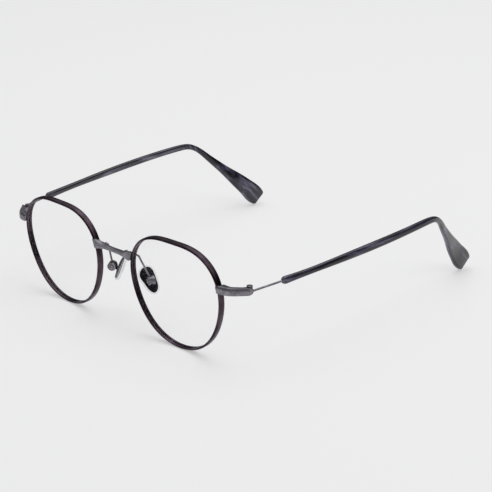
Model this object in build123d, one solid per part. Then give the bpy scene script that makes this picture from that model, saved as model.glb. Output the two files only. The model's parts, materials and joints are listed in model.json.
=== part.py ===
from build123d import *
import os
from math import cos, sin, tan, radians, pi

# Round wire eyeglasses, open, standing on the rims and the two temple tips.
# Everything is drawn in a fitting frame: X=0 is the mirror plane and +X is the
# wearer's left, +Y runs back along the temples from the lens centres, +Z is up
# from the lens centres. The last step moves the whole object so that the origin
# is its bottom centre. Left-hand pieces are drawn and mirrored. Lengths are in mm.

# ---- driving dimensions --------------------------------------------------------
LENS_CENTRE_X = 34.5          # from the mirror plane to each lens centre
LENS_RADIUS = 23.2            # mean radius of the rim opening
OVAL = 0.85                   # widens the opening and lowers it
PANTO = 1.10                  # fuller at the bottom and the two upper corners
SQUARING = 0.45               # flattens the top, the bottom and the sides
FACE_WRAP = 2.0               # degrees, each lens turned towards the temples
LENS_TILT = 3.6               # degrees, top of each lens forward
OUTLINE_POINTS = 24

RIM_WALL = 0.9
RIM_DEPTH = 2.7
RIM_BEVEL = 0.4               # rounds off the front outer edge
GROOVE_DEPTH = 0.35
GROOVE_WIDTH = 0.9
SPLIT_Z = 7.6                 # height of the saw cut that opens the rim
SPLIT = 0.15
BRAZE_GAP = 0.02              # hairline between brazed pieces, so no two overlap
FIT = 0.05                    # lens in its groove

LENS_THICKNESS = 1.8
LENS_CURVE = 240.0            # radius of the lens's front surface
LENS_BULGE = 0.7              # lens front ahead of the rim's front face

LIP = 0.55                    # bridge and endpieces ahead of the rim's front face
LIP_COVER = 0.45              # share of the rim's wall, in mm, that the lips leave bare
BAR_FRONT = -2.05
BRIDGE_FRONT = -2.1
BRIDGE_BACK = 1.3
LUG_SLOPE = 36.0              # degrees, the top of each bridge end falls to the rear

STRAP_LOW = 7.0
STRAP_HIGH = 9.95
STRAP_BEVEL = (0.4, 0.85)     # in from the outer face, and down it
HINGE_X = 67.6
HINGE_Y = 8.4
KNUCKLE_RADIUS = 1.2
KNUCKLE_GAP = 0.06
LOW_KNUCKLE = (STRAP_LOW + 0.15, 8.05)
MIDDLE_KNUCKLE = (LOW_KNUCKLE[1] + KNUCKLE_GAP, 9.2)
TOP_KNUCKLE = (MIDDLE_KNUCKLE[1] + KNUCKLE_GAP, STRAP_HIGH + 0.2)
LEAF_HIGH = 9.35
HINGE_PIN_RADIUS = 0.5
HINGE_HEAD_RADIUS = 0.8
HINGE_HEAD = 0.36
BUTT_START = Vector(68.95, 6.65, 8.5)
BUTT_WIDTH = 0.95
BUTT_HEIGHT = 2.7
RUNNING_FIT = 0.04            # radial clearance on each moving pin

RIM_SCREW_AT = (61.1, 1.9)
RIM_SCREW_RADIUS = 0.6
RIM_SCREW_LENGTH = 2.4
RIM_SCREW_HEAD = (0.9, 0.42)  # radius and height

WIRE_RADIUS = 0.43
CORE_LENGTH = 138.0           # the wire ends inside the tip
TEMPLE_CORNERS = [(69.78, 8.0, 8.75), (72.28, 25.0, 9.37), (75.12, 59.0, 10.61), (75.74, 90.0, 11.7),
                  (74.4, 111.9, 11.95), (64.8, 137.4, -12.6), (63.67, 146.1, -21.2)]
EARBEND_RADIUS = 14.0
SLEEVE_LEAN = 13.0            # degrees, top of each sleeve leaning inwards
LEAN_ENDS = (96.0, 124.0)     # the lean fades out between these distances along the temple
TIP_SKEW = 8.0                # degrees, the tip's end is cut longer at the back
# distance along the temple, height and width of the sleeve
SLEEVE_STATIONS = [(13.9, 1.9, 1.1), (14.5, 2.7, 1.7), (16.2, 3.05, 2.05), (50.0, 3.1, 2.05), (88.0, 3.0, 2.05),
                   (97.0, 2.85, 2.05), (103.0, 2.55, 2.05), (109.0, 2.55, 2.05), (115.0, 3.05, 2.1),
                   (121.0, 3.8, 2.15), (128.0, 5.05, 2.2), (135.0, 6.9, 2.25), (142.0, 8.3, 2.3)]
TIP_END = [(1.4, 8.6, 2.25), (0.4, 7.7, 1.9), (0.0, 6.6, 1.2)]

PAD_CENTRE = Vector(9.5, 9.65, -4.3)
PAD_LONG = Vector(0.39, -0.10, -0.915)
PAD_FACE = Vector(-0.77, 0.50, -0.39)   # the way the pad faces, towards the nose
PAD_PLATE = 0.9
PAD_CUSHION = 1.1
PAD_MARGIN = 0.7
PAD_EDGE = 0.25               # cushion wrapped behind the plate's middle
PIVOT_DISTANCE = 3.15         # from the pad plate out to the box screw
BOX_RADIUS = 1.85
BOX_LENGTH = 2.8
BOX_BACK = 1.15               # depth of the slot behind the box screw
LUG_RADIUS = 1.0
LUG_WIDTH = 0.9
LUG_GAP = 0.1
PAD_SCREW_RADIUS = 0.45
PAD_SCREW_HEAD = (0.9, 0.4)
ARM_RADIUS = 0.4
ARM_FOOT = Vector(6.3, 0.5, 9.5)
ARM_KNEE = Vector(9.2, 4.1, 8.1)
ARM_BEND = 1.6
FOOT_RADIUS = 1.1
FOOT_DEPTH = 0.9
# drop shape: across the pad, and up along it
PAD_POINTS = [(0.2, 5.7), (2.7, 4.9), (3.7, 2.6), (2.6, -0.6), (1.1, -3.8), (-0.8, -5.2), (-2.3, -3.9),
              (-2.6, -1.0), (-2.2, 2.4), (-1.5, 4.6)]


# ---- lens shape and lens plane ---------------------------------------------------
def outline_point(angle, grow):
    """Point of the lens outline at an angle, moved outwards by grow."""
    r = LENS_RADIUS + OVAL * cos(2 * angle) + PANTO * sin(3 * angle) - SQUARING * cos(4 * angle)
    slope = -2 * OVAL * sin(2 * angle) + 3 * PANTO * cos(3 * angle) + 4 * SQUARING * sin(4 * angle)
    tangent = Vector(slope * cos(angle) - r * sin(angle), slope * sin(angle) + r * cos(angle))
    normal = Vector(tangent.Y, -tangent.X).normalized()
    return Vector(r * cos(angle), r * sin(angle)) + normal * grow


def outline_face(grow):
    """The lens outline as a flat face, grown by an offset."""
    points = [outline_point(2 * pi * i / OUTLINE_POINTS, grow) for i in range(OUTLINE_POINTS)]
    return Face(Wire([Spline(*points, periodic=True)]))


def lens_plane():
    """Left lens plane: x to the temple, y up, z forward, origin on the rim's front face."""
    wrap = radians(FACE_WRAP)
    tilt = radians(LENS_TILT)
    x_dir = Vector(cos(wrap), sin(wrap), 0)
    up = Vector(0, -sin(tilt), cos(tilt))
    return Plane(origin=(LENS_CENTRE_X, 0, 0), x_dir=x_dir, z_dir=x_dir.cross(up))


def slab(grow, front, back):
    """The outline grown by an offset, from depth front to depth back behind the rim's front face."""
    return Pos(0, 0, -back) * extrude(outline_face(grow), amount=back - front)


def in_lens_plane(shape):
    return lens_plane().location * shape


def rim():
    """Grooved eyewire with a bevelled front edge, sawn through at the closing block."""
    groove_front = (RIM_DEPTH - GROOVE_WIDTH) / 2
    bevel = loft([Pos(0, 0, -RIM_BEVEL) * outline_face(RIM_WALL), outline_face(RIM_WALL - RIM_BEVEL)])
    ring = slab(RIM_WALL, RIM_BEVEL, RIM_DEPTH) + bevel
    ring -= slab(0, -1, RIM_DEPTH + 1)
    ring -= slab(GROOVE_DEPTH, groove_front, groove_front + GROOVE_WIDTH)
    saw_cut = Pos(LENS_RADIUS, SPLIT_Z, -RIM_DEPTH / 2) * Box(8, SPLIT, 2 * RIM_DEPTH)
    return in_lens_plane(ring - saw_cut)


def lens():
    """Meniscus lens with the flat bevel that sits in the rim's groove."""
    centre = Pos(0, 0, LENS_BULGE - LENS_CURVE)
    shell = centre * Sphere(LENS_CURVE) - centre * Sphere(LENS_CURVE - LENS_THICKNESS)
    body = slab(-FIT, -LENS_BULGE - 0.5, RIM_DEPTH) & shell
    middle = RIM_DEPTH / 2
    half = GROOVE_WIDTH / 2 - FIT
    bevel = slab(GROOVE_DEPTH - FIT, middle - half, middle + half) - slab(-1, -2, RIM_DEPTH + 1)
    return in_lens_plane(body + bevel)


def clear_of_rim(shape):
    """Cuts a brazed piece back from the rim's body and from the lens opening."""
    shape -= in_lens_plane(slab(RIM_WALL + BRAZE_GAP, -BRAZE_GAP, RIM_DEPTH + BRAZE_GAP))
    return shape - in_lens_plane(slab(LIP_COVER, -8, RIM_DEPTH + 8))


# ---- bridge ------------------------------------------------------------------------
def front_extrusion(points, front, back):
    """A shape drawn in X and Z, from depth front to depth back."""
    return extrude(Plane.XZ.offset(-back) * make_face(Polyline(*points, close=True)), amount=back - front)


def half_bridge():
    """Bar to the mirror plane, and the lug that is brazed to the rim's front and nose side."""
    bar = front_extrusion(
        [(0, 8.9), (4.5, 8.85), (7.4, 8.4), (9.2, 7.9), (9.2, 11.0), (7.4, 10.5), (5.0, 10.2), (0, 10.1)],
        BAR_FRONT, 0)
    lug = front_extrusion(
        [(8.0, 8.25), (10.2, 7.7), (11.4, 8.6), (12.8, 8.9), (12.8, 11.4), (9.6, 11.3), (8.0, 10.7)],
        BRIDGE_FRONT, BRIDGE_BACK)
    sloping_top = Pos(10.4, -LIP, 11.2) * Rot(-LUG_SLOPE, 0, 0) * Pos(0, 5, 2) * Box(8, 10, 4)
    return clear_of_rim(bar + (lug - sloping_top))


def bridge():
    half = half_bridge()
    return half + mirror(half, about=Plane.YZ)


# ---- endpiece, closing block and hinge ---------------------------------------------
def strap_plan():
    """The endpiece from above: lip over the rim, screw block, and the strap round to the hinge."""
    outer = Spline((56.5, -LIP), (58.6, -0.47), (61.8, 0.0), (65.05, 1.8), (67.35, 4.2), (69.4, 6.55))
    inner = Spline((68.05, 6.45), (66.0, 5.25), (64.0, 3.6), (62.6, 2.9))
    block = Polyline(inner @ 1, (59.2, 2.9), (59.2, 0.6), (56.5, 0.6), outer @ 0)
    return make_face([outer, Line(outer @ 1, inner @ 0), inner, block])


def hinge_column(radius, low, high):
    return Pos(HINGE_X, HINGE_Y, (low + high) / 2) * Cylinder(radius, high - low)


def endpiece():
    """Curved strap, chamfered along its top, tapped for the closing screw."""
    body = Pos(0, 0, STRAP_LOW) * extrude(strap_plan(), amount=STRAP_HIGH - STRAP_LOW)
    upper_edge = body.edges().filter_by(GeomType.BSPLINE).group_by(Axis.Z)[-1].sort_by(Axis.Y)[:1]
    body = chamfer(upper_edge, *STRAP_BEVEL, reference=body.faces().sort_by(Axis.Z)[-1])
    body -= Pos(60.6, 2.05, STRAP_LOW) * Box(5.2, 2.1, 2 * (SPLIT_Z + SPLIT - STRAP_LOW))
    body -= Pos(*RIM_SCREW_AT, 0) * Cylinder(RIM_SCREW_RADIUS + BRAZE_GAP, 2 * (STRAP_HIGH - 0.3))
    body -= hinge_column(KNUCKLE_RADIUS + LUG_GAP, STRAP_LOW - 1, STRAP_HIGH + 1)
    return clear_of_rim(body)


def closing_block():
    """Small block on the lower end of the sawn rim, pulled up by the rim screw."""
    block = Pos(60.3, 1.95, (STRAP_LOW + SPLIT_Z) / 2) * Box(4.2, 1.8, SPLIT_Z - STRAP_LOW)
    block -= Pos(*RIM_SCREW_AT, STRAP_LOW) * Cylinder(RIM_SCREW_RADIUS + RUNNING_FIT, 3)
    return clear_of_rim(block)


def slotted_screw(radius, length, head_radius, head):
    """A screw along Z: head from 0 up, shank from 0 down."""
    body = Pos(0, 0, head / 2) * Cylinder(head_radius, head) + Pos(0, 0, -length / 2) * Cylinder(radius, length)
    return body - Pos(0, 0, head) * Box(3 * head_radius, 0.25, head)


def rim_screw():
    screw = slotted_screw(RIM_SCREW_RADIUS, RIM_SCREW_LENGTH, *RIM_SCREW_HEAD)
    return Pos(*RIM_SCREW_AT, STRAP_LOW - BRAZE_GAP) * Rot(180, 0, 0) * screw


def hinge_front():
    """Two knuckles on one leaf, brazed inside the endpiece."""
    low = LOW_KNUCKLE[0]
    high = TOP_KNUCKLE[1]
    leaf_plan = Polyline(
        (64.3, 3.4), (66.8, 5.4), (68.1, 6.2), (HINGE_X + 0.5, HINGE_Y - 0.4), (HINGE_X - 1.0, HINGE_Y),
        (63.8, 4.5), close=True)
    leaf = Pos(0, 0, low) * extrude(make_face(leaf_plan), amount=LEAF_HIGH - low)
    leaf -= extrude(strap_plan(), amount=2 * STRAP_HIGH)
    body = leaf + hinge_column(KNUCKLE_RADIUS, low, high)
    body -= hinge_column(KNUCKLE_RADIUS + LUG_GAP, MIDDLE_KNUCKLE[0] - KNUCKLE_GAP, MIDDLE_KNUCKLE[1] + KNUCKLE_GAP)
    body -= hinge_column(HINGE_PIN_RADIUS + BRAZE_GAP, low - 1, high + 1)
    return body - hinge_column(HINGE_HEAD_RADIUS + BRAZE_GAP, high - HINGE_HEAD - BRAZE_GAP, high + 1)


def hinge_screw():
    shoulder = TOP_KNUCKLE[1] - HINGE_HEAD
    screw = slotted_screw(HINGE_PIN_RADIUS, shoulder - LOW_KNUCKLE[0], HINGE_HEAD_RADIUS, HINGE_HEAD)
    return Pos(HINGE_X, HINGE_Y, shoulder) * screw


# ---- temple ------------------------------------------------------------------------
def corner_radius(before, corner, after):
    """The largest fillet that leaves a tenth of the shorter run straight."""
    run_in = Vector(*corner) - Vector(*before)
    run_out = Vector(*after) - Vector(*corner)
    turn = radians(run_in.get_angle(run_out))
    return 0.45 * min(run_in.length, run_out.length) / tan(turn / 2)


def temple_route():
    """Centre line of the temple: straight runs joined by tangent arcs."""
    corners = TEMPLE_CORNERS
    radii = [corner_radius(*corners[i - 1:i + 2]) for i in range(1, len(corners) - 1)]
    radii[3] = EARBEND_RADIUS
    return FilletPolyline(*corners, radius=radii)


ROUTE = temple_route()


def route_plane(distance):
    """Cross-section of the temple at a distance from the hinge butt: x outwards, y down."""
    along = ROUTE % (distance / ROUTE.length)
    outwards = (Vector(1, 0, 0) - along * along.X).normalized()
    return Plane(origin=ROUTE @ (distance / ROUTE.length), x_dir=outwards, z_dir=along)


def hinge_rear():
    """Middle knuckle, and the butt that stops against the endpiece and tapers to the wire."""
    front = Plane(origin=BUTT_START, x_dir=(1, 0, 0), z_dir=(0, 1, 0))
    shoulder = Plane(origin=BUTT_START + (0.25, 0.45, 0), x_dir=(1, 0, 0), z_dir=(0, 1, 0))
    butt = loft([
        front * RectangleRounded(BUTT_WIDTH, BUTT_HEIGHT, 0.2),
        shoulder * RectangleRounded(BUTT_WIDTH, BUTT_HEIGHT, 0.2),
        route_plane(0) * RectangleRounded(2.2 * WIRE_RADIUS, 2.2 * WIRE_RADIUS, 0.4)])
    low, high = MIDDLE_KNUCKLE
    neck = Pos(HINGE_X + 1.0, HINGE_Y - 0.45, (low + high) / 2) * Box(1.6, 1.1, high - low)
    body = butt + neck + hinge_column(KNUCKLE_RADIUS, low, high)
    return body - hinge_column(HINGE_PIN_RADIUS + RUNNING_FIT, low - 1, high + 1)


def along_route(radius, start, end):
    """Round wire along the temple's route."""
    piece = ROUTE.trim(start / ROUTE.length, end / ROUTE.length)
    return sweep(Plane(origin=piece @ 0, z_dir=piece % 0) * Circle(radius), path=piece)


def temple_core():
    """The wire, from the hinge butt to its blunt end inside the tip."""
    return along_route(WIRE_RADIUS, 0, CORE_LENGTH)


def sleeve_section(distance, height, width, skew):
    """Rounded cross-section of the sleeve, leaning inwards until the bend."""
    fade = (LEAN_ENDS[1] - distance) / (LEAN_ENDS[1] - LEAN_ENDS[0])
    lean = SLEEVE_LEAN * min(max(fade, 0), 1)
    shape = RectangleRounded(width, height, 0.42 * min(width, height))
    return route_plane(distance) * Rot(-skew, 0, -lean) * shape


def temple_sleeve():
    """Acetate sleeve, bored for the wire that runs through it."""
    sections = [sleeve_section(*station, 0) for station in SLEEVE_STATIONS]
    for before_end, height, width in TIP_END:
        sections.append(sleeve_section(ROUTE.length - before_end, height, width, TIP_SKEW))
    bore = along_route(WIRE_RADIUS + BRAZE_GAP, 0, CORE_LENGTH + 0.5)
    return loft(sections) - bore


# ---- nose pads ---------------------------------------------------------------------
def pad_plane():
    """Left pad: x across the pad, y up along it, z towards the nose, origin in the plate."""
    face = (PAD_FACE - PAD_LONG * (PAD_FACE.dot(PAD_LONG) / PAD_LONG.dot(PAD_LONG))).normalized()
    return Plane(origin=PAD_CENTRE, x_dir=(PAD_LONG * -1).cross(face), z_dir=face)


def in_pad_plane(shape):
    return pad_plane().location * shape


def pad_slab(grow, low, high):
    """The drop shape grown by an offset, from low to high above the plate's middle."""
    corners = [Vector(*point) for point in PAD_POINTS]
    grown = []
    for i, corner in enumerate(corners):
        tangent = (corners[(i + 1) % len(corners)] - corners[i - 1]).normalized()
        grown.append(corner + Vector(-tangent.Y, tangent.X) * grow)
    return Pos(0, 0, low) * extrude(make_face(Spline(*grown, periodic=True)), amount=high - low)


def pad_plate():
    """Hard core plate with the lug that the box screw passes through."""
    plate = pad_slab(0, -PAD_PLATE / 2, PAD_PLATE / 2)
    lug = Pos(0, 0, -PIVOT_DISTANCE) * Rot(0, 90, 0) * Cylinder(LUG_RADIUS, LUG_WIDTH)
    lug += Pos(0, 0, -PIVOT_DISTANCE / 2) * Box(LUG_WIDTH, 1.5 * LUG_RADIUS, PIVOT_DISTANCE)
    bore = Pos(0, 0, -PIVOT_DISTANCE) * Rot(0, 90, 0) * Cylinder(PAD_SCREW_RADIUS + RUNNING_FIT, 4)
    return in_pad_plane(plate + lug - bore)


def pad_cushion():
    """Clear cushion moulded round the plate's edge and over its nose side."""
    top = PAD_PLATE / 2 + PAD_CUSHION
    body = pad_slab(PAD_MARGIN, -PAD_EDGE, top)
    socket = pad_slab(BRAZE_GAP, -PAD_EDGE - 1, PAD_PLATE / 2 + BRAZE_GAP)
    return in_pad_plane(body - socket)


def box_frame():
    """The pad plane moved out to the box screw, which lies along x."""
    return pad_plane().location * Pos(0, 0, -PIVOT_DISTANCE)


def pad_box():
    """Round clevis with a slot for the lug and a window in its back wall."""
    body = Rot(0, 90, 0) * Cylinder(BOX_RADIUS, BOX_LENGTH)
    slot_height = 3 * BOX_RADIUS
    body -= Pos(0, 0, slot_height / 2 - BOX_BACK) * Box(LUG_WIDTH + 2 * LUG_GAP, slot_height, slot_height)
    body -= Rot(0, 90, 0) * Cylinder(PAD_SCREW_RADIUS + BRAZE_GAP, 2 * BOX_LENGTH)
    body -= Pos(0, 0, -BOX_RADIUS) * Box(BOX_LENGTH - 0.6, 0.7, 0.5)
    return box_frame() * body


def pad_screw():
    """Box screw with its slotted head on the front side."""
    screw = slotted_screw(PAD_SCREW_RADIUS, BOX_LENGTH + 0.3, *PAD_SCREW_HEAD)
    return box_frame() * Pos(BOX_LENGTH / 2 + BRAZE_GAP, 0, 0) * Rot(0, 90, 0) * screw


def pad_arm():
    """Round wire from a foot on the back of the bridge to the top of the box."""
    box_top = box_frame().position - PAD_LONG * 0.4
    route = FilletPolyline(ARM_FOOT, ARM_KNEE, box_top, radius=ARM_BEND)
    wire = sweep(Plane(origin=route @ 0, z_dir=route % 0) * Circle(ARM_RADIUS), path=route)
    foot = Pos(ARM_FOOT.X, BRAZE_GAP, ARM_FOOT.Z) * Rot(-90, 0, 0) * Cylinder(
        FOOT_RADIUS, FOOT_DEPTH, align=(Align.CENTER, Align.CENTER, Align.MIN))
    room = box_frame() * Rot(0, 90, 0) * Cylinder(BOX_RADIUS + BRAZE_GAP, BOX_LENGTH + 2)
    return wire + foot - room


# ---- the whole object --------------------------------------------------------------
PIECES = {"bridge": bridge()}
for maker in (rim, lens, endpiece, closing_block, rim_screw, hinge_front, hinge_screw, hinge_rear,
              temple_core, temple_sleeve, pad_plate, pad_cushion, pad_box, pad_screw, pad_arm):
    piece = maker()
    PIECES[maker.__name__ + "_left"] = piece
    PIECES[maker.__name__ + "_right"] = mirror(piece, about=Plane.YZ)

boxes = [piece.bounding_box() for piece in PIECES.values()]
front_end = min(box.min.Y for box in boxes)
rear_end = max(box.max.Y for box in boxes)
to_origin = Pos(0, -(front_end + rear_end) / 2, -min(box.min.Z for box in boxes))
os.makedirs("parts", exist_ok=True)
for name, piece in PIECES.items():
    export_step(to_origin * piece, "parts/" + name + ".step")

print("moved by", to_origin.position)
print("left hinge axis at", to_origin.position + (HINGE_X, HINGE_Y, sum(MIDDLE_KNUCKLE) / 2))
print("left pad axis at", to_origin.position + box_frame().position, "along", pad_plane().x_dir)
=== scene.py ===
"""Round wire eyeglasses: finished meshes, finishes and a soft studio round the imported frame."""

import json
import logging
import math
from dataclasses import dataclass, field
from enum import Enum

import bmesh
import bpy
from mathutils import Matrix, Vector

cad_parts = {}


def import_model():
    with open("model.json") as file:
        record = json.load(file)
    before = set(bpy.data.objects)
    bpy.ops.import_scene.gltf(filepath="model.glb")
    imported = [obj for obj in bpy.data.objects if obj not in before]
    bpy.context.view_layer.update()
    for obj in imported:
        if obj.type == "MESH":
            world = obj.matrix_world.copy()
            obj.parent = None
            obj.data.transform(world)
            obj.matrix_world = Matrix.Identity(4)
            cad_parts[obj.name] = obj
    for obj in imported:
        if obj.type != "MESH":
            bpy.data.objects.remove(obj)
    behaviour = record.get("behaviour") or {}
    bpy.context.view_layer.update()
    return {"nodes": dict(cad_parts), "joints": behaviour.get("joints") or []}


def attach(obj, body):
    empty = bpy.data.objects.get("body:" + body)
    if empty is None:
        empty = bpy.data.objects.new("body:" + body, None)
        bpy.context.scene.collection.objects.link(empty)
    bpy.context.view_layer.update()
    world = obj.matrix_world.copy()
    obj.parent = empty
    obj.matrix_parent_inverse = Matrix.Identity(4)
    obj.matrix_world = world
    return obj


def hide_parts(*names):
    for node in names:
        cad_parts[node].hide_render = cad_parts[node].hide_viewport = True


log = logging.getLogger("eyeglasses")

MM = 0.001
HINGE_FROM_DATUM = Vector((67.6, 8.4, 8.655)) * MM     # left hinge axis, from midway between the lenses
SHARP = math.radians(38)                               # edges turning more than this stay crisp
FLAT = math.radians(0.5)                               # faces turning less than this become one face
WELD = 0.002 * MM                                      # a CAD mesh is loose triangles until it is merged

# A Mix node repeats its socket names for each kind of data, so these are its sockets by number.
VECTOR_A, VECTOR_B, VECTOR_MIXED = 4, 5, 1
COLOUR_A, COLOUR_B, COLOUR_MIXED = 6, 7, 2


class Side(Enum):
    """Which side of the wearer a piece is on, and the sign of its X."""

    LEFT = 1
    RIGHT = -1

    @property
    def tag(self) -> str:
        """The ending of this side's node and body names."""
        return "_" + self.name.lower()


# ---- small tools -------------------------------------------------------------------
def linear(code: str) -> tuple[float, float, float, float]:
    """Turns an sRGB hex colour to linear light.

    Args:
        code: six hex digits after a hash.

    Returns:
        Red, green, blue and an alpha of 1.
    """
    shares = [int(code[start:start + 2], 16) / 255 for start in (1, 3, 5)]
    red, green, blue = (
        share / 12.92 if share <= 0.04045 else ((share + 0.055) / 1.055) ** 2.4 for share in shares)
    return red, green, blue, 1.0


def add(tree: bpy.types.NodeTree, kind: str, inputs: dict, **settings: object) -> bpy.types.Node:
    """Adds a shader node.

    Args:
        tree: the material's node tree.
        kind: the node type, without "ShaderNode".
        inputs: input name or number to a value, or to a socket to link from.
        settings: the node's own properties.

    Returns:
        The new node.
    """
    node = tree.nodes.new("ShaderNode" + kind)
    for name, value in settings.items():
        setattr(node, name, value)
    for key, value in inputs.items():
        if isinstance(value, bpy.types.NodeSocket):
            tree.links.new(value, node.inputs[key])
        else:
            node.inputs[key].default_value = value
    return node


def per_metre(millimetres: float) -> float:
    """Pattern scale on Object coordinates for a feature of that size."""
    return 1 / (millimetres * MM)


def loft(mesh: bmesh.types.BMesh, rings: list[list[Vector]]) -> None:
    """Skins closed rings of points in order, and closes both ends.

    Args:
        mesh: the mesh to add to.
        rings: closed rings, all with the same number of points.
    """
    loops = []
    for ring in rings:
        made = bmesh.ops.create_circle(mesh, segments=len(ring), radius=MM)
        for vertex, place in zip(made["verts"], ring):
            vertex.co = place
        loops.append(list({edge for vertex in made["verts"] for edge in vertex.link_edges}))
    for before, after in zip(loops, loops[1:]):
        bmesh.ops.bridge_loops(mesh, edges=before + after)
    for end in (loops[0], loops[-1]):
        bmesh.ops.contextual_create(mesh, geom=end)
    bmesh.ops.recalc_face_normals(mesh, faces=mesh.faces[:])


def mirrored(mesh: bmesh.types.BMesh, side: Side) -> bmesh.types.BMesh:
    """A copy of a left-hand mesh, for either side.

    Args:
        mesh: the left-hand mesh, which stays as it is.
        side: the side that the copy is for.

    Returns:
        The copy, with its faces outwards.
    """
    twin = mesh.copy()
    if side is Side.RIGHT:
        bmesh.ops.scale(twin, vec=(-1, 1, 1), verts=twin.verts[:])
        bmesh.ops.reverse_faces(twin, faces=twin.faces[:])
    return twin


def merged_copy(node: bpy.types.Object, bevel: float) -> bmesh.types.BMesh:
    """Merges a copy of a CAD node's triangles and softens its sharp edges.

    Args:
        node: the CAD node.
        bevel: width of the softened edges in metres, or 0 for none.

    Returns:
        The copy, which the caller turns to a piece.
    """
    mesh = bmesh.new()
    mesh.from_mesh(node.data)
    bmesh.ops.remove_doubles(mesh, verts=mesh.verts[:], dist=WELD)
    bmesh.ops.dissolve_limit(mesh, angle_limit=FLAT, verts=mesh.verts[:], edges=mesh.edges[:])
    bmesh.ops.dissolve_degenerate(mesh, dist=WELD, edges=mesh.edges[:])
    sharp = [edge for edge in mesh.edges if len(edge.link_faces) == 2 and edge.calc_face_angle(0) > SHARP]
    if bevel and sharp:
        bmesh.ops.bevel(mesh, geom=sharp, offset=bevel, offset_type="OFFSET", segments=2, profile=0.5,
                        affect="EDGES", clamp_overlap=True, material=-1)
    return mesh


# ---- finishes ----------------------------------------------------------------------
@dataclass(frozen=True)
class Finish:
    """A material made from nodes. A subclass fills in its surface."""

    name: str

    def surface(self, tree: bpy.types.NodeTree, place: bpy.types.NodeSocket) -> dict:
        """Builds the pattern.

        Args:
            tree: the material's node tree.
            place: Object coordinates, in metres.

        Returns:
            The inputs of the Principled shader.
        """
        raise NotImplementedError

    def material(self) -> bpy.types.Material:
        """Makes the material once and then shares it.

        Returns:
            The finished material.
        """
        found = bpy.data.materials.get(self.name)
        if found:
            return found
        made = bpy.data.materials.new(self.name)
        made.use_nodes = True
        tree = made.node_tree
        tree.nodes.clear()
        place = add(tree, "TexCoord", {}).outputs["Object"]
        shader = add(tree, "BsdfPrincipled", self.surface(tree, place))
        add(tree, "OutputMaterial", {"Surface": shader.outputs["BSDF"]})
        return made


def ramp(tree: bpy.types.NodeTree, factor: bpy.types.NodeSocket,
         stops: list[tuple[float, str]]) -> bpy.types.NodeSocket:
    """Colours a factor with a ramp.

    Args:
        tree: the material's node tree.
        factor: the value to colour.
        stops: position and hex colour of each stop, in order.

    Returns:
        The ramp's colour.
    """
    node = add(tree, "ValToRGB", {"Fac": factor})
    band = node.color_ramp
    while len(band.elements) < len(stops):
        band.elements.new(1.0)
    for element, (position, code) in zip(band.elements, stops):
        element.position = position
        element.color = linear(code)
    return node.outputs["Color"]


def spread(tree: bpy.types.NodeTree, factor: bpy.types.NodeSocket,
           low: float, high: float) -> bpy.types.NodeSocket:
    """Maps a factor's middle range, 0.3 to 0.7, where most of a noise lies.

    Args:
        tree: the material's node tree.
        factor: the value to map.
        low: the result at 0.3 and below.
        high: the result at 0.7 and above.

    Returns:
        The mapped value.
    """
    limits = {"From Min": 0.3, "From Max": 0.7, "To Min": low, "To Max": high}
    return add(tree, "MapRange", {"Value": factor, **limits}).outputs["Result"]


@dataclass(frozen=True)
class LacqueredEyewire(Finish):
    """Drawn nickel-silver eyewire under a tinted satin lacquer.

    The lacquer gives a dark plum body with a broad soft highlight, slightly clouded where it pooled
    as it dried, and a faint orange peel under the clear coat.
    """

    deep: str = "#180d17"
    body: str = "#34242f"
    pale: str = "#564551"
    cloud_mm: float = 7.0
    peel_mm: float = 0.35

    def surface(self, tree: bpy.types.NodeTree, place: bpy.types.NodeSocket) -> dict:
        """Clouded lacquer with a fine peel.

        Args:
            tree: the material's node tree.
            place: Object coordinates, in metres.

        Returns:
            The inputs of the Principled shader.
        """
        cloud = add(tree, "TexNoise", {"Vector": place, "Scale": per_metre(self.cloud_mm), "Detail": 4.0})
        peel = add(tree, "TexNoise", {"Vector": place, "Scale": per_metre(self.peel_mm), "Detail": 2.0})
        bump = add(tree, "Bump", {"Height": peel.outputs["Fac"], "Strength": 0.12, "Distance": 0.012 * MM})
        stops = [(0.3, self.deep), (0.5, self.body), (0.72, self.pale)]
        return {
            "Base Color": ramp(tree, cloud.outputs["Fac"], stops),
            "Roughness": spread(tree, peel.outputs["Fac"], 0.3, 0.42),
            "Normal": bump.outputs["Normal"],
            "Metallic": 0.92, "Coat Weight": 0.22, "Coat Roughness": 0.2,
        }


@dataclass(frozen=True)
class SatinGunmetal(Finish):
    """Gunmetal-plated nickel silver, brushed along the front before plating.

    Brushing draws streaks across the highlights, and the plating leaves a grey that changes slowly
    along the part. Real brush lines lie about 0.03 mm apart; they are drawn coarser so that they show.
    """

    dark: str = "#67646a"
    body: str = "#838086"
    pale: str = "#a3a1a6"
    streak_mm: float = 0.25
    streak_length_mm: float = 5.0
    tone_mm: float = 3.0
    tone_share: float = 0.45

    def surface(self, tree: bpy.types.NodeTree, place: bpy.types.NodeSocket) -> dict:
        """Streaks along X over a slow change of tone.

        Args:
            tree: the material's node tree.
            place: Object coordinates, in metres.

        Returns:
            The inputs of the Principled shader.
        """
        across = per_metre(self.streak_mm)
        along = per_metre(self.streak_length_mm)
        stretched = add(tree, "Mapping", {"Vector": place, "Scale": (along, across, across)})
        brush = add(tree, "TexNoise", {"Vector": stretched.outputs["Vector"], "Scale": 1.0, "Detail": 3.0})
        tone = add(tree, "TexNoise", {"Vector": place, "Scale": per_metre(self.tone_mm), "Detail": 2.0})
        mixed = add(tree, "Mix", {"Factor": self.tone_share, "A": brush.outputs["Fac"],
                                  "B": tone.outputs["Fac"]})
        bump = add(tree, "Bump", {"Height": brush.outputs["Fac"], "Strength": 0.3, "Distance": 0.01 * MM})
        stops = [(0.35, self.dark), (0.5, self.body), (0.66, self.pale)]
        return {
            "Base Color": ramp(tree, mixed.outputs["Result"], stops),
            "Roughness": spread(tree, brush.outputs["Fac"], 0.34, 0.48),
            "Normal": bump.outputs["Normal"],
            "Metallic": 1.0,
        }


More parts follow.
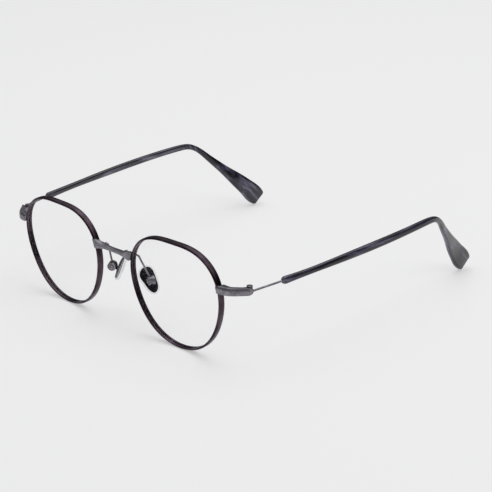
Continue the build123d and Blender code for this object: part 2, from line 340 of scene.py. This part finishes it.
@dataclass(frozen=True)
class TurnedSteel(Finish):
    """Stainless screw stock, turned on a lathe and left bright.

    The tool leaves a fine mottle that breaks up the highlight of each small head. It is drawn
    coarser than real tool marks, which are a few hundredths of a millimetre apart, so that it shows.
    """

    dark: str = "#77747a"
    pale: str = "#b3b0b4"
    grain_mm: float = 0.12

    def surface(self, tree: bpy.types.NodeTree, place: bpy.types.NodeSocket) -> dict:
        """Fine tool mottle.

        Args:
            tree: the material's node tree.
            place: Object coordinates, in metres.

        Returns:
            The inputs of the Principled shader.
        """
        grain = add(tree, "TexNoise", {"Vector": place, "Scale": per_metre(self.grain_mm), "Detail": 3.0})
        bump = add(tree, "Bump", {"Height": grain.outputs["Fac"], "Strength": 0.3, "Distance": 0.008 * MM})
        return {
            "Base Color": ramp(tree, grain.outputs["Fac"], [(0.35, self.dark), (0.65, self.pale)]),
            "Roughness": spread(tree, grain.outputs["Fac"], 0.25, 0.4),
            "Normal": bump.outputs["Normal"],
            "Metallic": 1.0,
        }


@dataclass(frozen=True)
class HornAcetate(Finish):
    """Cellulose acetate cut from a laminated horn-pattern sheet and tumbled to a polish.

    The laminations run along the temple as long dark and grey-violet streaks that waver and break
    up, deep under a clear polished skin. Tumbling leaves the skin very slightly rippled.
    """

    black: str = "#06060d"
    navy: str = "#161522"
    slate: str = "#343145"
    horn: str = "#6b687b"
    streak_mm: float = 2.2
    streak_length_mm: float = 24.0
    waver_mm: float = 14.0
    drift_mm: float = 2.0
    ripple_mm: float = 1.1
    tip_slope: float = math.radians(-45)
    bend_from: float = 33 * MM
    bend_to: float = 42 * MM

    def surface(self, tree: bpy.types.NodeTree, place: bpy.types.NodeSocket) -> dict:
        """Long wavering streaks along the arm, which turn down with it at the ear.

        Args:
            tree: the material's node tree.
            place: Object coordinates, in metres.

        Returns:
            The inputs of the Principled shader.
        """
        waver = add(tree, "TexNoise", {"Vector": place, "Scale": per_metre(self.waver_mm), "Detail": 1.0})
        drift = add(tree, "VectorMath", {0: waver.outputs["Color"], "Scale": self.drift_mm * MM},
                    operation="SCALE")
        moved = add(tree, "VectorMath", {0: place, 1: drift.outputs["Vector"]}, operation="ADD")
        size = (self.streak_mm * MM, self.streak_length_mm * MM, self.streak_mm * MM)
        arm = add(tree, "Mapping", {"Vector": moved.outputs["Vector"], "Scale": size}, vector_type="TEXTURE")
        tip = add(tree, "Mapping", {"Vector": moved.outputs["Vector"], "Scale": size,
                                    "Rotation": (self.tip_slope, 0, 0)}, vector_type="TEXTURE")
        back = add(tree, "SeparateXYZ", {"Vector": place}).outputs["Y"]
        past = add(tree, "MapRange", {"Value": back, "From Min": self.bend_from, "From Max": self.bend_to})
        turned = add(tree, "Mix", {"Factor": past.outputs["Result"], VECTOR_A: arm.outputs["Vector"],
                                   VECTOR_B: tip.outputs["Vector"]}, data_type="VECTOR")
        streaks = add(tree, "TexNoise", {"Vector": turned.outputs[VECTOR_MIXED], "Scale": 1.0, "Detail": 5.0,
                                         "Roughness": 0.55, "Distortion": 0.4})
        skin = add(tree, "TexNoise", {"Vector": place, "Scale": per_metre(self.ripple_mm), "Detail": 2.0})
        bump = add(tree, "Bump", {"Height": skin.outputs["Fac"], "Strength": 0.15, "Distance": 0.01 * MM})
        stops = [(0.36, self.black), (0.47, self.navy), (0.56, self.slate), (0.68, self.horn)]
        return {
            "Base Color": ramp(tree, streaks.outputs["Fac"], stops),
            "Roughness": spread(tree, skin.outputs["Fac"], 0.16, 0.24),
            "Normal": bump.outputs["Normal"],
            "IOR": 1.48, "Coat Weight": 0.3, "Coat Roughness": 0.08,
        }


@dataclass(frozen=True)
class MouldedBlack(Finish):
    """Black polycarbonate, injection moulded in a lightly sparked die: near black, with a dull sheen.

    The sparked texture is drawn coarser than its real grain of about 0.05 mm so that it shows.
    """

    body: str = "#020203"
    bloom: str = "#060607"
    spark_mm: float = 0.2

    def surface(self, tree: bpy.types.NodeTree, place: bpy.types.NodeSocket) -> dict:
        """Spark-eroded texture.

        Args:
            tree: the material's node tree.
            place: Object coordinates, in metres.

        Returns:
            The inputs of the Principled shader.
        """
        spark = add(tree, "TexNoise", {"Vector": place, "Scale": per_metre(self.spark_mm), "Detail": 2.0})
        bump = add(tree, "Bump", {"Height": spark.outputs["Fac"], "Strength": 0.2, "Distance": 0.015 * MM})
        return {
            "Base Color": ramp(tree, spark.outputs["Fac"], [(0.35, self.body), (0.7, self.bloom)]),
            "Roughness": spread(tree, spark.outputs["Fac"], 0.3, 0.42),
            "Normal": bump.outputs["Normal"],
            "IOR": 1.58, "Specular IOR Level": 0.16,
        }


@dataclass(frozen=True)
class ClearSilicone(Finish):
    """Clear liquid silicone rubber, moulded soft, with a random milky haze: almost invisible face on, and
    brighter along its edges by painted reflection.
    """

    clear: str = "#d9dbe1"
    milky: str = "#b4b7c1"
    haze_mm: float = 1.5

    def surface(self, tree: bpy.types.NodeTree, place: bpy.types.NodeSocket) -> dict:
        """Random milky haze, with a painted reflection that grows where the surface turns away.

        Args:
            tree: the material's node tree.
            place: Object coordinates, in metres.

        Returns:
            The inputs of the Principled shader.
        """
        haze = add(tree, "TexNoise", {"Vector": place, "Scale": per_metre(self.haze_mm), "Detail": 2.0})
        edge = add(tree, "LayerWeight", {"Blend": 0.35})
        return {
            "Base Color": ramp(tree, haze.outputs["Fac"], [(0.3, self.milky), (0.7, self.clear)]),
            # Alpha grows where the surface turns away, so the pale colour shows along the edges as painted
            # reflection.
            "Alpha": spread(tree, edge.outputs["Facing"], 0.1, 0.42),
            "Roughness": 0.3, "IOR": 1.41,
        }


@dataclass(frozen=True)
class CoatedLens(Finish):
    """CR-39 lens with an anti-reflection coat: it hardly shows, but for a trace of violet at the edge, which
    is a painted reflection of the coat laid as a faint pale-to-violet veil.
    """

    # clear and violet are the colours of a painted reflection of the coat, not a tint of the resin
    clear: str = "#f4f6f7"
    violet: str = "#c9c6e2"
    coat_mm: float = 30.0

    def surface(self, tree: bpy.types.NodeTree, place: bpy.types.NodeSocket) -> dict:
        """Slow change of the painted coat reflection from pale to violet, thicker towards a grazing view.

        Args:
            tree: the material's node tree.
            place: Object coordinates, in metres.

        Returns:
            The inputs of the Principled shader.
        """
        coat = add(tree, "TexNoise", {"Vector": place, "Scale": per_metre(self.coat_mm), "Detail": 1.0})
        edge = add(tree, "LayerWeight", {"Blend": 0.2})
        return {
            "Base Color": ramp(tree, coat.outputs["Fac"], [(0.35, self.clear), (0.65, self.violet)]),
            # Alpha grows towards a grazing view, so the pale and violet veil shows there as painted
            # reflection.
            "Alpha": spread(tree, edge.outputs["Facing"], 0.012, 0.03),
            "Roughness": 0.03, "IOR": 1.498,
        }


@dataclass(frozen=True)
class OpalAcrylic(Finish):
    """Matt opal acrylic of a light table: its own even glow leaves hardly any shadow on it.

    The tooth of its sanded face is drawn coarser than the real one of about 0.1 mm.
    """

    shade: str = "#bdbdbd"
    light: str = "#c0c0c0"
    tooth_mm: float = 0.6
    glow: float = 0.425

    def surface(self, tree: bpy.types.NodeTree, place: bpy.types.NodeSocket) -> dict:
        """Matt tooth over the glow.

        Args:
            tree: the material's node tree.
            place: Object coordinates, in metres.

        Returns:
            The inputs of the Principled shader.
        """
        tooth = add(tree, "TexNoise", {"Vector": place, "Scale": per_metre(self.tooth_mm), "Detail": 2.0})
        return {
            "Base Color": ramp(tree, tooth.outputs["Fac"], [(0.3, self.shade), (0.7, self.light)]),
            "Emission Color": linear("#ffffff"), "Emission Strength": self.glow,
            "Roughness": 1.0, "Specular IOR Level": 0.0,
        }


class Palette(Enum):
    """The finish of each material slot in the record."""

    eyewire_lacquer = LacqueredEyewire("satin_lacquered_nickel_silver")
    gunmetal = SatinGunmetal("brushed_gunmetal_plating")
    screw_steel = TurnedSteel("turned_stainless_steel")
    acetate = HornAcetate("tumbled_horn_acetate")
    pad_core = MouldedBlack("moulded_black_polycarbonate")
    silicone = ClearSilicone("clear_silicone_rubber")
    clear_lens = CoatedLens("coated_lens_resin")


# ---- pieces ------------------------------------------------------------------------
@dataclass
class SubAssembly:
    """A group of pieces. It knows the CAD nodes and the datum midway between the lens centres."""

    nodes: dict[str, bpy.types.Object]
    datum: Vector

    def piece(self, mesh: bmesh.types.BMesh, name: str, body: str, slot: Palette) -> bpy.types.Object:
        """Turns a mesh to a visible piece in place of its CAD node.

        Args:
            mesh: the finished mesh, in the shared frame. It is freed.
            name: the CAD node that it stands for.
            body: the body that it rides on.
            slot: its material slot and finish.

        Returns:
            The new object.
        """
        for face in mesh.faces:
            face.smooth = True
        for edge in mesh.edges:
            edge.smooth = len(edge.link_faces) == 2 and edge.calc_face_angle(0) < SHARP
        data = bpy.data.meshes.new(name + "_mesh")
        mesh.to_mesh(data)
        mesh.free()
        made = bpy.data.objects.new(name + "_finished", data)
        bpy.context.scene.collection.objects.link(made)
        data.materials.append(slot.value.material())
        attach(made, body)
        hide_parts(name)
        log.info("%s: %d faces on %s in %s", name, len(data.polygons), body, slot.name)
        return made

    def softened(self, name: str, body: str, slot: Palette, bevel: float = 0.07 * MM) -> bpy.types.Object:
        """A CAD node's own shape with merged faces and softened edges."""
        return self.piece(merged_copy(self.nodes[name], bevel), name, body, slot)

    def kept(self, name: str, slot: Palette) -> None:
        """Leaves a CAD node showing, in its finish.

        Args:
            name: the CAD node.
            slot: its material slot and finish.
        """
        data = self.nodes[name].data
        data.materials.clear()
        data.materials.append(slot.value.material())
        log.info("%s: CAD shape kept in %s", name, slot.name)


@dataclass
class LensShape:
    """The lens outline and its plane, from a few driving dimensions in millimetres.

    The outline is a circle with three waves on it: oval makes it wider than tall, panto flattens
    its top and draws down its foot, and squaring fills out its four corners.
    """

    datum: Vector
    centre_x: float = 34.5
    radius: float = 23.2
    oval: float = 0.85
    panto: float = 1.10
    squaring: float = 0.45
    wrap: float = math.radians(2.0)
    tilt: float = math.radians(3.6)

    def point(self, angle: float, grow: float, depth: float) -> Vector:
        """A point by the outline.

        Args:
            angle: round the lens, from the temple side upwards.
            grow: how far outside the outline, in millimetres.
            depth: how far behind the rim's front face, in millimetres.

        Returns:
            The point in the shared frame, on the left lens.
        """
        reach = self.radius + self.oval * math.cos(2 * angle) + self.panto * math.sin(3 * angle)
        reach -= self.squaring * math.cos(4 * angle)
        slope = 3 * self.panto * math.cos(3 * angle) - 2 * self.oval * math.sin(2 * angle)
        slope += 4 * self.squaring * math.sin(4 * angle)
        tangent = Vector((slope * math.cos(angle) - reach * math.sin(angle),
                          slope * math.sin(angle) + reach * math.cos(angle)))
        normal = Vector((tangent.y, -tangent.x)).normalized()
        flat = Vector((reach * math.cos(angle), reach * math.sin(angle))) + normal * grow
        across = Vector((math.cos(self.wrap), math.sin(self.wrap), 0))
        up = Vector((0, -math.sin(self.tilt), math.cos(self.tilt)))
        forward = across.cross(up).normalized()
        up = forward.cross(across)
        centre = self.datum + Vector((self.centre_x * MM, 0, 0))
        return centre + (across * flat.x + up * flat.y - forward * depth) * MM


@dataclass
class Eyewires(SubAssembly):
    """The two grooved rims with their saw cuts, and the lenses in them. Sizes are in millimetres.

    The outer front edge has a bevel, whose two corners are eased, and the outer back edge is
    rounded in by back_round. The saw cut stands at cut_angle round the lens and reaches cut_half to
    either side, in radians.
    """

    wall: float = 0.9
    depth: float = 2.7
    soft: float = 0.14
    bevel: float = 0.38
    front_ease: float = 0.05
    side_ease: float = 0.08
    side_rise: float = 0.02
    back_round: float = 0.07
    groove_depth: float = 0.35
    groove_half: float = 0.45
    cut_angle: float = math.radians(18.2)
    cut_half: float = 0.0031
    stations: int = 200

    def section(self) -> list[tuple[float, float]]:
        """Draws the eyewire's profile, from the inner front edge round by the outside.

        Returns:
            For each corner, its distance outside the outline and its depth behind the front face.
        """
        middle = self.depth / 2
        half = self.groove_half
        return [
            (0.0, self.soft), (self.soft, 0.0), (self.wall - self.bevel - self.soft, 0.0),
            (self.wall - self.bevel, self.front_ease),
            (self.wall - self.side_ease, self.bevel - self.side_rise), (self.wall, self.bevel + self.soft),
            (self.wall, self.depth - 2 * self.soft),
            (self.wall - self.back_round, self.depth - self.back_round),
            (self.wall - 2 * self.soft, self.depth), (self.soft, self.depth), (0.0, self.depth - self.soft),
            (0.0, middle + half), (self.groove_depth, middle + half / 2),
            (self.groove_depth, middle - half / 2), (0.0, middle - half)]

    def build(self) -> None:
        """Sweeps the profile round each lens from one side of the saw cut to the other."""
        shape = LensShape(self.datum)
        start = self.cut_angle + self.cut_half
        turn = 2 * math.pi - 2 * self.cut_half
        rings = []
        for station in range(self.stations + 1):
            angle = start + turn * station / self.stations
            rings.append([shape.point(angle, grow, depth) for grow, depth in self.section()])
        rim = bmesh.new()
        loft(rim, rings)
        for side in Side:
            self.piece(mirrored(rim, side), "rim" + side.tag, "front", Palette.eyewire_lacquer)
            self.kept("lens" + side.tag, Palette.clear_lens)
        rim.free()


@dataclass
class Bridge(SubAssembly):
    """The bar between the rims with its two brazed lugs."""

    edge: float = 0.16 * MM

    def build(self) -> None:
        """Softens the bridge's edges as polishing does."""
        self.softened("bridge", "front", Palette.gunmetal, self.edge)


@dataclass
class Endpieces(SubAssembly):
    """Straps, closing blocks, hinge leaves and the screws in them."""

    edge: float = 0.12 * MM
    screw_edge: float = 0.04 * MM

    def build(self) -> None:
        """Softens each small part and finishes it."""
        for side in Side:
            for name in ("endpiece", "closing_block", "hinge_front"):
                self.softened(name + side.tag, "front", Palette.gunmetal, self.edge)
            for name in ("rim_screw", "hinge_screw"):
                self.softened(name + side.tag, "front", Palette.screw_steel, self.screw_edge)


@dataclass
class Temples(SubAssembly):
    """Hinge butts, wire cores and acetate sleeves."""

    def build(self) -> None:
        """Finishes both temples, each on its own body."""
        for side in Side:
            body = "temple" + side.tag
            self.softened("hinge_rear" + side.tag, body, Palette.gunmetal)
            self.softened("temple_core" + side.tag, body, Palette.gunmetal, bevel=0)
            self.softened("temple_sleeve" + side.tag, body, Palette.acetate, bevel=0)


@dataclass
class NosePads(SubAssembly):
    """Pad arms and boxes on the front, and the rocking plates with their cushions.

    The left plate's middle is at centre, in millimetres from the datum; long points down the plate
    and face points out of it towards the nose. The drop is the plate's outline, in millimetres
    across and up from its middle.
    """

    centre: Vector = field(default_factory=lambda: Vector((9.5, 9.65, -4.3)))
    long: Vector = field(default_factory=lambda: Vector((0.39, -0.10, -0.915)))
    face: Vector = field(default_factory=lambda: Vector((-0.77, 0.50, -0.39)))
    drop: tuple[tuple[float, float], ...] = (
        (0.2, 5.7), (2.7, 4.9), (3.7, 2.6), (2.6, -0.6), (1.1, -3.8),
        (-0.8, -5.2), (-2.3, -3.9), (-2.6, -1.0), (-2.2, 2.4), (-1.5, 4.6))
    plate_half: float = 0.45
    margin: float = 0.7
    crown: float = 1.1
    smoothness: int = 6
    plate_edge: float = 0.12 * MM
    screw_edge: float = 0.04 * MM

    def outline(self) -> list[Vector]:
        """Draws the drop shape as a smooth closed line, by Catmull-Rom between its corners.

        Returns:
            The line's points, across and up from the plate's middle.
        """
        corners = [Vector(corner) for corner in self.drop]
        count = len(corners)
        points = []
        for i in range(count):
            before, start, end, after = (corners[(i + k) % count] for k in (-1, 0, 1, 2))
            for step in range(self.smoothness):
                t = step / self.smoothness
                square = 2 * before - 5 * start + 4 * end - after
                cube = 3 * start - before - 3 * end + after
                points.append(0.5 * (2 * start + (end - before) * t + square * t ** 2 + cube * t ** 3))
        return points

    def ring(self, grow: float, height: float, shrink: float = 1.0) -> list[Vector]:
        """The drop shape on the left pad.

        Args:
            grow: how far outside the plate's edge, in millimetres.
            height: above the plate's middle, towards the nose, in millimetres.
            shrink: scale about the middle, for the crown's inner rings.

        Returns:
            The ring's points in the shared frame.
        """
        points = self.outline()
        face = (self.face - self.long * (self.face.dot(self.long) / self.long.dot(self.long))).normalized()
        up = -self.long.normalized()
        across = up.cross(face).normalized()
        centre = self.datum + self.centre * MM
        ring = []
        for i, point in enumerate(points):
            tangent = (points[(i + 1) % len(points)] - points[i - 1]).normalized()
            flat = (point + Vector((-tangent.y, tangent.x)) * grow) * shrink
            ring.append(centre + (across * flat.x + up * flat.y + face * height) * MM)
        return ring

    def cushion(self) -> bmesh.types.BMesh:
        """Lofts the crowned silicone drop, wrapped round the plate's edge and open behind it.

        Returns:
            The left cushion.
        """
        top = self.plate_half + self.crown
        edge = self.margin
        # Each level is a ring: how far outside the plate, how high, and its scale. They start by the
        # plate's rim, go down it, out and round the cushion's edge, and up to the crown.
        levels = [
            (0.03, self.plate_half + 0.02, 1.0), (0.03, -0.2, 1.0), (0.12, -0.25, 1.0),
            (edge - 0.25, -0.22, 1.0), (edge - 0.05, -0.05, 1.0), (edge, 0.35, 1.0), (edge - 0.04, 0.8, 1.0),
            (edge - 0.2, top - 0.35, 1.0), (edge - 0.55, top - 0.14, 1.0),
            (0, top - 0.05, 0.9), (0, top - 0.01, 0.6), (0, top, 0.25)]
        mesh = bmesh.new()
        loft(mesh, [self.ring(*level) for level in levels])
        return mesh

    def build(self) -> None:
        """Makes the cushions and finishes the hard parts."""
        cushion = self.cushion()
        for side in Side:
            body = "pad" + side.tag
            self.softened("pad_arm" + side.tag, "front", Palette.gunmetal, bevel=0)
            self.softened("pad_box" + side.tag, "front", Palette.gunmetal)
            self.softened("pad_screw" + side.tag, "front", Palette.screw_steel, self.screw_edge)
            self.softened("pad_plate" + side.tag, body, Palette.pad_core, self.plate_edge)
            made = self.piece(mirrored(cushion, side), "pad_cushion" + side.tag, body, Palette.silicone)
        cushion.free()


# ---- studio ------------------------------------------------------------------------
@dataclass
class Studio:
    """Light table, dim room, soft boxes and the camera. The lights and camera stand off the datum.

    The room gives its colour by height, from straight down at 0 to straight up at 1.
    """

    datum: Vector
    camera_place: Vector = field(default_factory=lambda: Vector((462.5, -385.0, 238.5)) * MM)
    azimuth: float = math.radians(45.23)
    elevation: float = math.radians(20.86)
    roll: float = math.radians(-0.757)
    lens_mm: float = 117.2
    floor_size: float = 6.0
    backdrop: str = "#ebebeb"
    room: tuple[tuple[float, str], ...] = (
        (0.5, "#26262a"), (0.68, "#3c3c40"), (0.82, "#c4c4c6"), (1.0, "#e4e4e6"))
    overhead_place: Vector = field(default_factory=lambda: Vector((-0.1, 0.35, 1.1)))
    overhead_size: float = 1.1
    overhead_power: float = 4.6
    key_place: Vector = field(default_factory=lambda: Vector((0.9, 0.1, 0.8)))
    key_size: float = 0.6
    key_power: float = 1.5

    def floor(self) -> None:
        """Lays the light table under the rims and the tips."""
        mesh = bmesh.new()
        bmesh.ops.create_grid(mesh, x_segments=4, y_segments=4, size=self.floor_size / 2)
        data = bpy.data.meshes.new("floor_mesh")
        mesh.to_mesh(data)
        mesh.free()
        table = bpy.data.objects.new("floor", data)
        data.materials.append(OpalAcrylic("opal_acrylic_table").material())
        bpy.context.scene.collection.objects.link(table)

    def walls(self) -> None:
        """Makes the room dim at eye level, so that upright faces stay dark, and its backdrop pale."""
        world = bpy.data.worlds.new("dim_room")
        world.use_nodes = True
        tree = world.node_tree
        tree.nodes.clear()
        heading = add(tree, "TexCoord", {}).outputs["Generated"]
        height = add(tree, "SeparateXYZ", {"Vector": heading}).outputs["Z"]
        level = add(tree, "MapRange", {"Value": height, "From Min": -1.0, "From Max": 1.0})
        dim = ramp(tree, level.outputs["Result"], list(self.room))
        seen = add(tree, "LightPath", {}).outputs["Is Camera Ray"]
        shade = add(tree, "Mix", {"Factor": seen, COLOUR_A: dim, COLOUR_B: linear(self.backdrop)},
                    data_type="RGBA")
        sky = add(tree, "Background", {"Color": shade.outputs[COLOUR_MIXED]})
        add(tree, "OutputWorld", {"Surface": sky.outputs["Background"]})
        bpy.context.scene.world = world

    def soft_box(self, name: str, place: Vector, size: float, power: float) -> None:
        """Adds a square soft box that faces the eyeglasses.

        Args:
            name: the light's name.
            place: where it hangs, in metres from the datum.
            size: its side, in metres.
            power: in watts.
        """
        data = bpy.data.lights.new(name, "AREA")
        data.shape = "SQUARE"
        data.size = size
        data.energy = power
        light = bpy.data.objects.new(name, data)
        light.location = self.datum + place
        light.rotation_mode = "QUATERNION"
        light.rotation_quaternion = (-place).to_track_quat("-Z", "Y")
        bpy.context.scene.collection.objects.link(light)

    def camera(self) -> None:
        """Stands the camera at the wearer's left front, a little above the frame."""
        azimuth, elevation = self.azimuth, self.elevation
        right = Vector((math.cos(azimuth), math.sin(azimuth), 0))
        back = Vector((math.sin(azimuth) * math.cos(elevation), -math.cos(azimuth) * math.cos(elevation),
                       math.sin(elevation)))
        turned = Matrix((right, back.cross(right), back)).transposed() @ Matrix.Rotation(self.roll, 3, "Z")
        data = bpy.data.cameras.new("camera")
        data.lens = self.lens_mm
        data.clip_start = 0.05
        camera = bpy.data.objects.new("camera", data)
        camera.matrix_world = Matrix.Translation(self.datum + self.camera_place) @ turned.to_4x4()
        bpy.context.scene.collection.objects.link(camera)
        bpy.context.scene.camera = camera

    def build(self) -> None:
        """Sets the stage, the light and the camera."""
        self.floor()
        self.walls()
        bpy.context.scene.view_settings.view_transform = "Standard"
        self.soft_box("overhead", self.overhead_place, self.overhead_size, self.overhead_power)
        self.soft_box("key", self.key_place, self.key_size, self.key_power)
        self.camera()


def main() -> None:
    """Builds every sub-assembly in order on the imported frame."""
    logging.basicConfig(level=logging.INFO, format="%(name)s %(message)s")
    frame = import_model()
    hinge = next(joint for joint in frame["joints"] if joint["name"] == "temple_fold_left")
    datum = Vector(hinge["pos_m"]) - HINGE_FROM_DATUM
    for group in (Eyewires, Bridge, Endpieces, Temples, NosePads):
        group(frame["nodes"], datum).build()
    Studio(datum).build()


if __name__ == "__main__":
    main()
